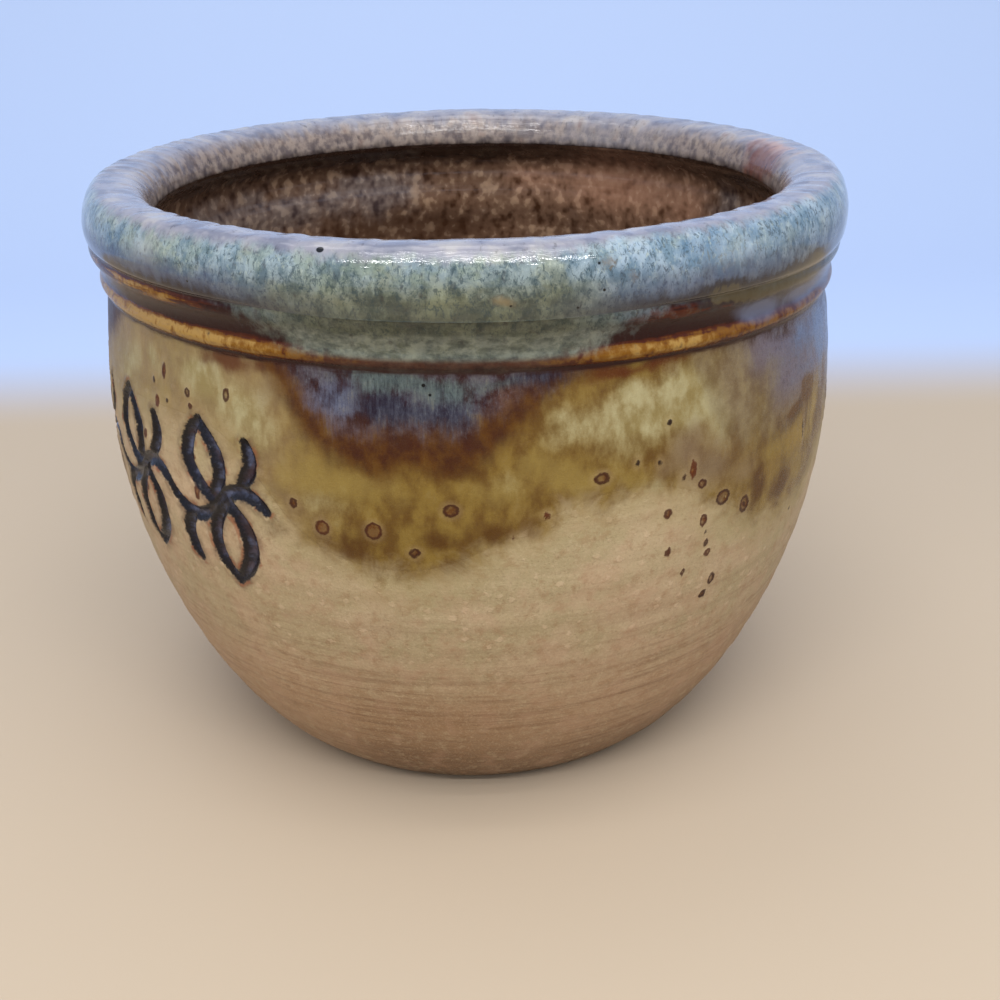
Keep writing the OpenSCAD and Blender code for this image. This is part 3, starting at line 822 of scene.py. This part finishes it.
class Shade:
    """Builds one material's nodes, and holds its colour, roughness and height so far."""

    def __init__(self, name):
        self.material = bpy.data.materials.new(name)
        self.material.use_nodes = True
        self.tree = self.material.node_tree
        self.tree.nodes.clear()
        self.known = {}
        self.color = self.rough = self.height = None

    def node(self, kind, inputs, **settings):
        node = self.tree.nodes.new(kind)
        for key, value in settings.items():
            setattr(node, key, value)
        for key, value in inputs.items():
            if isinstance(value, Value):
                self.tree.links.new(value.socket, node.inputs[key])
            else:
                node.inputs[key].default_value = value
        return node

    def add(self, kind, inputs, output=0, **settings):
        """Adds a node and gives one of its outputs."""
        return Value(self, self.node(kind, inputs, **settings).outputs[output])

    def __getitem__(self, name):
        """A field that the mesh carries."""
        if name not in self.known:
            output = "Vector" if name == "wrap" else "Fac"
            settings = {"attribute_type": "GEOMETRY", "attribute_name": name}
            self.known[name] = self.add("ShaderNodeAttribute", {}, output, **settings)
        return self.known[name]

    def math(self, kind, a, b):
        return self.add("ShaderNodeMath", {0: a, 1: b}, operation=kind)

    def blend(self, value, low, high, start=0.0, end=1.0):
        """Eases from start to end while the value goes from low to high."""
        inputs = {0: value, 1: low, 2: high, 3: start, 4: end}
        return self.add("ShaderNodeMapRange", inputs, interpolation_type="SMOOTHSTEP")

    def mix(self, share, a, b):
        return self.add("ShaderNodeMix", {0: share, 6: a, 7: b}, output=2, data_type="RGBA")

    def ramp(self, value, stops):
        """A colour that passes through (value, colour) stops."""
        color = stops[0][1]
        for (low, _), (high, tint) in zip(stops, stops[1:]):
            color = self.mix(self.blend(value, low, high), color, tint)
        return color

    def lay(self, tint, share):
        """Lays a tint over the colour so far."""
        self.color = self.mix(share, self.color, tint)

    def wash(self, name, tint, breakup, share, low=0.15, high=0.8):
        """Lays one of the washes over the colour; noise around 0 breaks up its border."""
        self.lay(tint, self.blend(self[name] + breakup, low, high) * share)

    def apart(self, paint, *given):
        """The colour that a paint function makes by itself; this material's own state is kept."""
        kept = self.color, self.rough, self.height
        paint(self, *given)
        found = self.color
        self.color, self.rough, self.height = kept
        return found

    def laid_out(self, cell, wide, tall, shift):
        """Coordinates on the wall for cells of so many mm, wider or taller by a factor."""
        scale = (1 / (cell * wide), 1 / (cell * wide), 1 / (cell * tall))
        place = self.add("ShaderNodeVectorMath", {0: self["wrap"], 1: scale}, operation="MULTIPLY")
        return self.add("ShaderNodeVectorMath", {0: place, 1: (shift, shift * 0.7, shift * 1.3)})

    def noise(self, cell, wide=1, tall=1, detail=3.0, rough=0.55, twist=0.0, shift=0.0):
        """Cloudy noise from 0 to 1."""
        inputs = {"Vector": self.laid_out(cell, wide, tall, shift), "Scale": 1.0}
        inputs |= {"Detail": detail, "Roughness": rough, "Distortion": twist}
        return self.add("ShaderNodeTexNoise", inputs, "Fac")

    def cells(self, cell):
        """Distance to the middle of the nearest cell, and a number that is that cell's own."""
        inputs = {"Vector": self.laid_out(cell, 1, 1, 0), "Scale": 1.0}
        outputs = self.node("ShaderNodeTexVoronoi", inputs).outputs
        own = self.add("ShaderNodeSeparateColor", {0: Value(self, outputs["Color"])})
        return Value(self, outputs["Distance"]), own

    def finish(self, relief_mm, gloss=0.5):
        """The surface shader, with bump from the height in parts of relief_mm."""
        bump = {"Height": self.height, "Strength": 1.0, "Distance": relief_mm * MM}
        inputs = {"Base Color": self.color, "Roughness": self.rough, "Specular IOR Level": gloss}
        inputs["Normal"] = self.add("ShaderNodeBump", bump)
        shader = self.add("ShaderNodeBsdfPrincipled", inputs)
        self.node("ShaderNodeOutputMaterial", {"Surface": shader})
        return self.material


# ---- paint


def paint_bare_clay(s):
    """Fired clay: tan, browner and darker towards the foot, partly its own colour and partly painted shade
    near the floor, with throwing lines, pimples and a greenish haze.
    """
    z = s["height"]
    # Darker towards the foot: partly the clay's own browner colour, partly painted shade, darkest at the
    # very foot as a painted contact shadow.
    s.color = s.ramp(z, [(2, srgb(104, 78, 54)), (14, srgb(119, 91, 64)), (34, srgb(150, 120, 89)),
                         (66, srgb(169, 147, 117)), (94, srgb(179, 159, 127))])
    s.lay(srgb(182, 154, 126), s["bright"] * 0.5)
    s.lay(srgb(184, 152, 120), s["blush"] * 0.5)
    haze = s.blend(s.noise(16), 0.4, 0.62) * s.blend(z, 42, 66)
    s.lay(srgb(152, 142, 104), haze * 0.45)
    mottle = s.noise(3.4, detail=4, rough=0.6, shift=4)
    s.lay(srgb(146, 112, 80), s.blend(mottle, 0.5, 0.68) * 0.45)
    s.lay(srgb(182, 162, 130), s.blend(mottle, 0.48, 0.34) * 0.35)
    lines = s.noise(1.4, wide=26, rough=0.6)
    broken = s.blend(s.noise(20, wide=2, detail=2, shift=8), 0.36, 0.6)
    low = s.blend(z, 84, 36) * broken
    s.lay(srgb(112, 80, 54), s.blend(lines, 0.44, 0.66) * (0.08 + 0.42 * low))
    grain = s.noise(0.7, detail=4, rough=0.75)
    s.lay(srgb(200, 178, 148), s.blend(grain, 0.5, 0.7) * 0.4)
    s.lay(srgb(112, 88, 62), s.blend(grain, 0.46, 0.3) * 0.42)
    bent = (s.noise(1.1, shift=9) - 0.5) * 0.8
    distance, own = s.cells(2.8)
    pimple = s.blend(distance + bent, 0.4, 0.2) * s.blend(own, 0.74, 0.86) * s.blend(z, 44, 66)
    s.lay(srgb(208, 182, 152), pimple * 0.34)
    pink = s.blend(s.noise(11, detail=4, rough=0.6, shift=27), 0.5, 0.64)
    s.lay(srgb(174, 140, 114), pink * 0.28)
    s.rough = s.blend(grain, 0.3, 0.7, 0.5, 0.66)
    s.height = lines * (0.2 + low) + (grain * 0.45 + pimple * 0.4) + mottle * 0.9


def paint_olive(s):
    """Olive glaze above its wandering edge, clouded with yellow, pale green, mauve and dark brown, with
    painted shade just under the lower cordon.
    """
    edge = s["edge"] + (s.noise(10, detail=4, rough=0.62, twist=0.5) * 20 - 10)
    s.lay(srgb(150, 134, 92), s.blend(edge, -17, -2) * 0.5)
    soft = s.noise(5, tall=1.8, detail=5, rough=0.6, shift=3)
    cover = s.blend(edge, -6, 4) * (0.96 - 0.55 * s["blush"])
    s.lay(s.mix(s.blend(soft, 0.34, 0.66), glazed(94, 68, 28), glazed(126, 102, 52)), cover)
    veins = s.noise(6, tall=1.3, detail=5, rough=0.62, shift=6)
    breakup = (veins - 0.5) * 1.2
    gentle = (soft - 0.5) * 0.9
    s.wash("glow", glazed(142, 121, 70), breakup, 0.65)
    pale = s.mix(s.blend(soft, 0.36, 0.66), glazed(144, 129, 86), glazed(174, 166, 130))
    s.wash("pale", pale, gentle, 0.8, 0.08, 0.95)
    s.wash("cloud", glazed(126, 108, 88), gentle, 0.75, 0.1, 0.9)
    # painted shade just under the lower cordon
    s.wash("under_cordon_shade", glazed(88, 50, 26), breakup, 0.85)
    s.wash("blotch", glazed(82, 56, 26), breakup, 0.85)
    s.rough = s.rough - 0.36 * cover
    s.height = s.height * (1.0 - 0.5 * cover) + soft * 0.3


def paint_run_body(s, cloud, streak, breakup, faint):
    """What a run is made of: deep purple with mauve, blue, navy, teal and rust in it; on the +X side part
    of the mauve and of the pale blue is painted reflection.
    """
    s.color = s.mix(s.blend(cloud, 0.38, 0.62), glazed(60, 44, 44), glazed(88, 82, 90))
    mauve = s.mix(cloud, glazed(118, 104, 106), glazed(104, 104, 124))
    mauve = s.mix(s.blend(s["height"], 124, 113), mauve, glazed(120, 98, 66))
    # on the +X side this mauve is partly painted reflection, a grey-blue sheen, over the glaze's own
    # purple
    s.wash("mauve", mauve, breakup, 0.92, 0.05, 0.95)
    threads = s.blend(streak, 0.3, 0.7) * 0.55 + s.blend(cloud, 0.34, 0.66) * 0.45
    blue = s.mix(threads, glazed(68, 73, 92), glazed(103, 110, 132))
    s.wash("blue", blue, breakup, 0.8, 0.05, 0.95)
    # pale blue: a painted reflection at the +X edge, glaze blue elsewhere
    s.wash("azure_and_sheen", glazed(106, 124, 158), breakup, 0.8, 0.1, 1.0)
    navy = s.mix(threads, glazed(40, 38, 50), glazed(80, 82, 94))
    s.wash("navy", navy, breakup, 0.9, 0.05, 0.95)
    teal = s.mix(threads, glazed(60, 70, 74), glazed(104, 115, 112))
    s.wash("teal", teal, breakup, 0.9, 0.05, 0.95)
    s.wash("rust", glazed(96, 62, 40), breakup, 0.6, 0.05, 0.95)
    fine = s.noise(0.55, tall=3, rough=0.7, shift=17)
    s.lay(glazed(46, 42, 50), s.blend(fine, 0.54, 0.66) * 0.45)
    s.lay(glazed(132, 138, 146), s.blend(fine, 0.44, 0.32) * 0.16)
    misty = s.mix(s.blend(cloud, 0.36, 0.66), glazed(112, 96, 72), glazed(142, 130, 102))
    s.color = s.mix(faint, misty, s.color)


def paint_runs(s):
    """Blue and purple glaze that has run down from the rim, with its brown fringe."""
    cloud = s.noise(5, tall=1.2, detail=5, rough=0.6, shift=13)
    streak = s.noise(0.8, tall=7, detail=4, rough=0.7, shift=9)
    breakup = (cloud - 0.5) * 1.3 + (streak - 0.5) * 0.8
    faint = s.blend(s["mist"] + breakup * 0.3, 0.0, 1.0, 1.0, 0.0)
    fringe = s["brown"] + (s.noise(6, tall=1.6, detail=4, shift=3) * 10 - 5)
    brown = s.mix(s.blend(cloud, 0.36, 0.64), glazed(66, 41, 20), glazed(90, 60, 26))
    s.lay(brown, s.blend(fringe, -4.5, 4.5) * (0.2 + 0.72 * faint))
    wander = s.noise(4, tall=2, detail=4, rough=0.62, shift=5) * 10 - 5
    hair = s.noise(0.5, tall=6, rough=0.6)
    reach = s["run"] + wander + (hair - 0.5) * 5
    run = s.apart(paint_run_body, cloud, streak, breakup, faint)
    s.lay(run, s.blend(reach, -4, 5) * (0.55 + 0.45 * faint))
    s.wash("umber", glazed(90, 62, 32), (streak - 0.5) * 0.5, 0.85, 0.3, 0.62)
    s.wash("gold", glazed(146, 120, 64), breakup, 0.75, 0.05, 1.1)
    paint_pits(s)


def paint_pits(s):
    """Pinholes, near black."""
    near = FAR
    for azimuth, z, radius in PITS:
        a = math.radians(azimuth)
        middle = (WRAP_R * math.sin(a), -WRAP_R * math.cos(a), along_up_to_crest(z))
        away = s.add("ShaderNodeVectorMath", {0: s["wrap"], 1: middle}, "Value", operation="DISTANCE")
        near = s.math("MINIMUM", near, away - radius)
    s.lay(glazed(24, 18, 18), s.blend(near, 0.12, -0.15))


def paint_spots(s):
    """Iron spots: a thin dark ring, a browner middle and a pale halo."""
    spot = s["spot"] + (s.noise(1.3, shift=1) * 0.9 - 0.45)
    tone = s["tone"]
    s.lay(srgb(170, 146, 110), s.blend(spot, 1.7, 0.2) * 0.16)
    dark = s.mix(tone, glazed(56, 34, 20), glazed(132, 74, 34))
    light = s.mix(tone, glazed(84, 58, 32), glazed(108, 74, 40))
    share = s.blend(s.noise(2.6, shift=30), 0.4, 0.6, 0.45, 0.95)
    s.lay(s.mix(s.noise(0.8, detail=2), dark, light), s.blend(spot, 0.2, -0.3) * share)
    ring = s.blend(spot, 0.3, 0.0) * s.blend(spot, -0.75, -0.25)
    s.lay(s.mix(tone, glazed(44, 26, 16), glazed(88, 48, 26)), ring * 0.85)
    s.height = s.height + s.blend(spot, 0.5, -0.1) * 0.6


def paint_cuts(s):
    """Carved cuts filled with blue-black slip, black and feathered at the edge, rusty here and there,
    lighter blue-grey in the middle, partly painted reflection.
    """
    hair = s.noise(0.7, detail=4, rough=0.7, shift=2)
    wobble = s.noise(2.2, detail=4, rough=0.65, shift=2) * 1.2 + hair * 1.6
    cut = s["cut"] + (wobble - 1.55)
    smudge = s.blend(cut, 2.6, 0.1) * s.blend(s.noise(5, shift=7), 0.36, 0.6)
    s.lay(srgb(84, 60, 44), smudge * 0.6)
    rust = s.blend(cut, 1.6, 0.2) * s.blend(s.noise(5, shift=3), 0.53, 0.62)
    s.lay(srgb(136, 78, 48), rust * 0.7)
    # lighter blue-grey in each cut's middle: partly the slip's colour, partly painted reflection in the
    # glossy hollow
    slate_and_sheen = s.mix(s.blend(s.noise(3, detail=4), 0.4, 0.66), srgb(34, 32, 46), srgb(84, 90, 116))
    slate_and_sheen = s.mix(s.blend(s.noise(6, detail=2, shift=5), 0.5, 0.6) * 0.6, slate_and_sheen, srgb(62, 40, 40))
    inside = s.blend(cut, 0.3, -0.3)
    s.lay(s.mix(s.blend(cut, -0.7, -2.2), srgb(18, 14, 18), slate_and_sheen), inside)
    s.rough = s.rough * (1.0 - inside) + inside * 0.2
    s.height = s.height + hair * 0.4


def paint_rim_glaze(s):
    """Blue-green glaze of the roll: mottled, flecked downwards, darker olive towards its bottom in front,
    partly pooled glaze and partly painted shade.
    """
    roll, cool = s["roll"], s["cool"]
    mottle = s.noise(4.2, tall=1.4, detail=5, rough=0.66, twist=0.3)
    strong = s.blend(mottle, 0.38, 0.62)
    dull = s.mix(strong, glazed(92, 108, 111), glazed(138, 151, 150))
    blue = s.mix(strong, glazed(112, 137, 158), glazed(156, 175, 194))
    s.color = s.mix(cool, dull, blue)
    cream = s.blend(s.noise(9, detail=4, rough=0.6, shift=6), 0.5, 0.62)
    s.lay(glazed(160, 163, 136), cream * (0.6 - 0.42 * cool))
    teal = s.blend(s.noise(12, detail=4, shift=15), 0.5, 0.62)
    s.lay(glazed(86, 116, 144), teal * (0.1 + 0.5 * cool))
    green = s.blend(s.noise(7, detail=4, shift=21), 0.46, 0.6) * (1.0 - cool)
    s.lay(glazed(128, 138, 104), green * 0.5)
    # darker olive towards the roll's bottom in front: partly pooled glaze, partly painted shade
    low = s.blend(roll + (mottle - 0.5) * 10, 15, 4) * s["veil"]
    olive = s.mix(s.blend(mottle, 0.36, 0.62), glazed(68, 71, 59), glazed(112, 114, 91))
    s.lay(olive, low * 0.85)
    fleck = s.noise(1.0, tall=1.8, detail=6, rough=0.78, twist=0.7)
    s.lay(glazed(48, 64, 70), s.blend(fleck, 0.5, 0.6) * 0.7)
    light = s.noise(0.8, tall=2, detail=5, rough=0.75, twist=0.6, shift=12)
    s.lay(glazed(184, 192, 176), s.blend(light, 0.54, 0.66) * (0.4 - 0.32 * low))
    patchy = (fleck - 0.5) * 1.6
    s.wash("milk", glazed(166, 172, 174), patchy, 0.6, 0.1, 1.0)
    s.wash("tan", glazed(146, 122, 86), patchy, 0.6, 0.1, 1.0)
    lines = s.noise(0.9, wide=40, rough=0.6)
    pebbles = s.noise(2.4, detail=1)
    glints = s.noise(0.75, wide=5, detail=2, rough=0.6, shift=11) * (s.blend(roll, 10, 13) * 0.8)
    s.rough = s.blend(light, 0.3, 0.7, 0.04, 0.1)
    s.height = (fleck * 0.1 + glints) + (lines * 0.5 + pebbles * 0.6)


def paint_moss(s, ragged):
    """Grey olive on the upper cordon, with a darker border."""
    found = s["moss"] + ragged
    border = s.blend(found, 0.05, 0.25) * s.blend(found, 0.6, 0.35)
    s.lay(glazed(88, 80, 62), s.blend(found, 0.2, 0.6) * 0.85)
    s.lay(glazed(54, 50, 52), border * 0.75)


def collar_cloud(s):
    return s.blend(s.noise(3, wide=1.6, detail=5, rough=0.65, shift=14), 0.36, 0.64)


def pooled_olive_and_shade(s):
    """Dark olive under the roll: partly the rim's glaze pooled there, partly painted shade."""
    return s.mix(collar_cloud(s), glazed(50, 50, 44), glazed(88, 86, 74))


def paint_cordons(s, pull, drop, bent):
    """Amber where the glaze thins, near black in the hollows, grey where the rim's glaze clings, with
    painted shade in the dark olive under the roll and painted reflection in the cove's blue on the +X
    side.
    """
    z = s["height"]
    low = s.blend(bent, SHOULDER_Z - 0.3, SHOULDER_Z + 1.5)
    low = low * s.blend(bent, COVE_LOW_Z + 1.5, COVE_LOW_Z - 0.9)
    up = s.blend(bent, COVE_TOP_Z + 0.5, COVE_TOP_Z + 2.3)
    up = up * s.blend(bent, GROOVE_Z + 0.4, GROOVE_Z - 1.6)
    strands = s.blend(pull, 0.42, 0.58, 0.3, 1.0)
    thin = low * s["amber_low"] + up * strands * s["amber_up"]
    thin = thin + (drop - 0.5) * (0.15 + 2.0 * thin)
    amber = s.ramp(thin, [(0.0, glazed(52, 24, 16)), (0.3, glazed(80, 46, 22)),
                          (0.6, glazed(122, 83, 38)), (1.0, glazed(164, 130, 74))])
    rim = s.apart(paint_rim_glaze)
    gray = s.mix(collar_cloud(s), glazed(78, 80, 74), glazed(132, 134, 122))
    in_cove = s.mix(0.65, rim, gray)
    # over the upper cordon the rim's glaze is mixed with dark olive, partly painted shade under the roll
    on_cordon = s.mix(0.5, rim, pooled_olive_and_shade(s))
    pooled = s.mix(s.blend(z, COVE_TOP_Z - 0.7, COVE_TOP_Z + 1.5), in_cove, on_cordon)
    cling = s["veil"] + (z - (COVE_TOP_Z - 0.1)) * 0.05 + (drop - 0.5) * 0.8
    shed = s.blend(z, COVE_LOW_Z - 0.3, COVE_LOW_Z - 2.3) * 0.85
    s.color = s.mix(s.blend(cling, 0.25, 0.75) * (1.0 - shed), amber, pooled)
    ragged = (drop - 0.5) * 0.8
    paint_moss(s, ragged)
    # in the cove on the +X side this blue is painted reflection; elsewhere it is the runs' glaze
    s.wash("blue", glazed(104, 110, 134), ragged * 0.3, 0.85)


def paint_collar(s):
    """The cordons above the shoulder, over a dark seam."""
    pull = s.noise(1.2, wide=9, detail=4, rough=0.6)
    drop = s.noise(2.2, tall=1.4, detail=4, shift=4)
    bent = s["height"] + (pull * 2.4 - 1.2)
    above = s.blend(bent, SHOULDER_Z - 1.3, SHOULDER_Z - 0.3)
    s.lay(s.apart(paint_cordons, pull, drop, bent), above)
    seam = s.blend(bent, SHOULDER_Z - 1.8, SHOULDER_Z - 0.7)
    seam = seam * s.blend(bent, SHOULDER_Z + 0.5, SHOULDER_Z - 0.3)
    s.lay(glazed(56, 38, 30), seam * 0.35)
    s.rough = s.rough * (1.0 - above) + above * 0.16
    s.height = s.height + pull * 0.4


# ---- materials


def clay_material():
    s = Shade("fired_clay")
    for paint in (paint_bare_clay, paint_olive, paint_spots, paint_cuts):
        paint(s)
    return s.finish(0.2, gloss=0.3)


def shoulder_material():
    s = Shade("olive_glaze")
    for paint in (paint_bare_clay, paint_olive, paint_runs, paint_spots, paint_cuts, paint_collar):
        paint(s)
    return s.finish(0.16, gloss=0.22)


def rim_material():
    """The roll: mauve-grey on top, stained brown at the mouth, near black at the mouth's edge and dark
    olive under it in front, both partly painted shade, and dark under it where the veil is thin.
    """
    s = Shade("blue_green_glaze")
    paint_rim_glaze(s)
    roll, veil = s["roll"], s["veil"]
    rise = roll + (s.noise(3, tall=2, detail=4, shift=3) - 0.5) * 7
    soft = s.noise(7, rough=0.5, shift=5)
    mauve = s.ramp(soft, [(0.34, glazed(116, 117, 134)), (0.5, glazed(142, 140, 152)),
                          (0.66, glazed(163, 159, 162))])
    s.lay(mauve, s.blend(rise - 4 * s["cool"], 12, 16.5) * 0.92)
    stain = s.mix(s.blend(s.noise(3, detail=4), 0.36, 0.62), glazed(90, 72, 60), glazed(148, 129, 113))
    s.lay(stain, s.blend(rise, 27, 34) * (0.8 - 0.4 * s["clean"]))
    inward = s.blend(rise + (soft - 0.5) * 12, 31, 25)
    flush = s.mix(inward, glazed(112, 58, 40), glazed(190, 142, 110))
    s.wash("flush", flush, (soft - 0.5) * 2, s.blend(rise, 22, 26) * 0.68, 0.1, 1.0)
    # near black at the mouth's edge: partly painted shade of the undercut below it
    s.lay(glazed(44, 30, 26), s.blend(rise, 36, 41))
    # dark olive on the roll's underside in front: partly pooled glaze, partly painted shade
    s.lay(pooled_olive_and_shade(s), s.blend(roll + soft * 6, 9, 3) * (veil * 0.5))
    # where the veil is thin the roll ends in purple, then in near black
    bare = 1.0 - veil
    s.lay(glazed(72, 75, 98), s.blend(rise, 12, 4.5) * bare * 0.85)
    s.lay(glazed(46, 30, 30), s.blend(rise, 5.5, 1.5) * bare)
    paint_moss(s, (s.noise(1.6, tall=2, detail=4, rough=0.6, shift=4) - 0.5) * 0.8)
    paint_pits(s)
    s.rough = s.rough + s.blend(rise, 32, 38, 0.0, 0.35)
    return s.finish(0.05)


def liner_material():
    """Brown glaze inside, mottled tan and grey, with painted shade low inside and under the lip, where it
    is darkest.
    """
    s = Shade("brown_liner_glaze")
    mottle = s.noise(3.6, tall=1.1, detail=1.6)
    s.color = s.ramp(mottle, [(0.26, glazed(74, 54, 44)), (0.5, glazed(118, 92, 76)),
                              (0.74, glazed(164, 136, 112))])
    russet = s.mix(mottle, glazed(140, 96, 76), glazed(200, 158, 132))
    s.wash("russet", russet, (mottle - 0.5) * 0.8, 0.75, 0.05, 0.95)
    breakup = (s.noise(7, detail=4, shift=5) - 0.5) * 1.4
    ash = s.mix(s.blend(mottle, 0.3, 0.7), glazed(80, 75, 80), glazed(146, 136, 132))
    s.wash("ash", ash, breakup, 0.62, 0.05, 1.1)
    # painted shade low inside and behind the lip
    s.wash("inside_shade", glazed(70, 52, 43), 0.5 - mottle, 0.72, 0.0, 1.1)
    # under the lip: painted shade of the undercut, over a glaze that is darker there too
    edge = s.blend(s["roll"] + mottle * 8, 60, 48)
    s.lay(glazed(46, 32, 26), edge * (0.9 - 0.5 * s["russet"]))
    s.rough = s.blend(mottle, 0.3, 0.7, 0.14, 0.3)
    s.height = mottle * 0.6 + s.noise(1.8, wide=50, detail=2) * 0.4
    return s.finish(0.2)


# ---- camera

VIEW_DISTANCE = 387.5  # level distance of the lens from the pot's axis
VIEW_HEIGHT = 237.4
VIEW_YAW = 0.0218  # radians
VIEW_PITCH = 0.4289
VIEW_ROLL = -0.0157
LENS = 46.8
SENSOR_W = 36.0


def place_camera():
    """The photograph's viewpoint, from a camera fitted to the pot's outline."""
    level = Vector((math.cos(VIEW_YAW), -math.sin(VIEW_YAW), 0))
    flat = math.cos(VIEW_PITCH)
    ahead = Vector((math.sin(VIEW_YAW) * flat, math.cos(VIEW_YAW) * flat, -math.sin(VIEW_PITCH)))
    upright = level.cross(ahead)
    right = level * math.cos(VIEW_ROLL) + upright * math.sin(VIEW_ROLL)
    up = upright * math.cos(VIEW_ROLL) - level * math.sin(VIEW_ROLL)
    camera = bpy.data.objects.new("camera", bpy.data.cameras.new("camera"))
    turned_axes = Matrix((right, up, -ahead)).transposed().to_4x4()
    place = Vector((0, -VIEW_DISTANCE, VIEW_HEIGHT)) * MM
    camera.matrix_world = Matrix.Translation(place) @ turned_axes
    camera.data.lens = LENS
    camera.data.sensor_width = SENSOR_W
    camera.data.clip_start = 0.01
    bpy.context.scene.collection.objects.link(camera)
    bpy.context.scene.camera = camera


# ---- floor, lights and backdrop, in metres

SWEEP_START = 0.5
SWEEP_R = 0.7
SWEEP_TOP = 1.8
SWEEP_HALF = 4.0
ROOM_COLOR = (0.94, 0.97, 1.0, 1.0)
ROOM_STRENGTH = 0.8
AIM = (0, 0, 0.1)
STRIP_W = 0.012
# Area lamps: name, place, size, and power in watts; the strips draw fine lines along the rim
LAMPS = [
    ("overhead", (0.1, -0.55, 1.25), (1.1, 0.8), 5.8),
    ("strip_low", (-0.02, -0.75, 0.8), (1.1, STRIP_W), 3.8),
    ("strip_second", (0.0, -0.64, 0.89), (0.7, STRIP_W), 0.6),
    ("strip_third", (0.0, -0.52, 0.97), (0.7, STRIP_W), 0.8),
    ("strip_high", (0.0, -0.28, 1.06), (0.7, STRIP_W), 0.6),
    ("top_fill", (-0.2, 0.3, 1.5), (0.9, 0.5), 2.5),
]


def studio_material():
    """Warm and pale on the floor, cool and pale up the sweep behind."""
    s = Shade("studio_paper")
    place = s.add("ShaderNodeNewGeometry", {}, "Position")
    back = s.add("ShaderNodeSeparateXYZ", {0: place}, "Y")
    s.color = s.mix(s.blend(back, 0.23, 0.36), srgb(190, 173, 152), srgb(186, 204, 238))
    s.rough = 0.7
    s.height = 0.0
    return s.finish(0.01, gloss=0.2)


def place_studio():
    """A sheet of paper on the floor that sweeps up behind the pot."""
    turns = np.linspace(0, np.pi / 2, 24)
    curve = [(SWEEP_START + SWEEP_R * math.sin(t), SWEEP_R * (1 - math.cos(t))) for t in turns]
    profile = [(-SWEEP_HALF, 0.0), (0.0, 0.0)] + curve + [(SWEEP_START + SWEEP_R, SWEEP_TOP)]
    points = [(x, y, z) for y, z in profile for x in (-SWEEP_HALF, SWEEP_HALF)]
    faces = [(2 * k, 2 * k + 1, 2 * k + 3, 2 * k + 2) for k in range(len(profile) - 1)]
    mesh = bpy.data.meshes.new("studio_paper")
    mesh.from_pydata(points, [], faces)
    mesh.polygons.foreach_set("use_smooth", np.ones(len(faces), bool))
    mesh.materials.append(studio_material())
    paper = bpy.data.objects.new("studio_paper", mesh)
    bpy.context.scene.collection.objects.link(paper)


def place_lamp(name, place, size, power):
    """A rectangular area light aimed at the pot."""
    light = bpy.data.lights.new(name, "AREA")
    light.shape = "RECTANGLE"
    light.size, light.size_y = size
    light.energy = power
    lamp = bpy.data.objects.new(name, light)
    lamp.location = place
    lamp.rotation_mode = "QUATERNION"
    lamp.rotation_quaternion = (Vector(AIM) - Vector(place)).to_track_quat("-Z", "Y")
    bpy.context.scene.collection.objects.link(lamp)


def light_the_room():
    """A soft, even room; the camera and the gloss see a plain pale background."""
    world = bpy.data.worlds.new("soft_room")
    world.use_nodes = True
    nodes, links = world.node_tree.nodes, world.node_tree.links
    sky = nodes["Background"]
    sky.inputs["Color"].default_value = ROOM_COLOR
    sky.inputs["Strength"].default_value = ROOM_STRENGTH
    seen = nodes.new("ShaderNodeBackground")
    seen.inputs["Color"].default_value = srgb(196, 210, 236)
    path = nodes.new("ShaderNodeLightPath")
    either = nodes.new("ShaderNodeMath")
    either.operation = "MAXIMUM"
    links.new(path.outputs["Is Camera Ray"], either.inputs[0])
    links.new(path.outputs["Is Glossy Ray"], either.inputs[1])
    both = nodes.new("ShaderNodeMixShader")
    for k, node in enumerate((either, sky, seen)):
        links.new(node.outputs[0], both.inputs[k])
    links.new(both.outputs[0], nodes["World Output"].inputs["Surface"])
    bpy.context.scene.world = world


# ---- making it all

bpy.context.scene.view_settings.view_transform = "Standard"
place_camera()
place_studio()
light_the_room()
for lamp_settings in LAMPS:
    place_lamp(*lamp_settings)

clay_piece(clay_material())
shoulder_piece(shoulder_material())
rim_piece(rim_material())
liner_piece(liner_material())
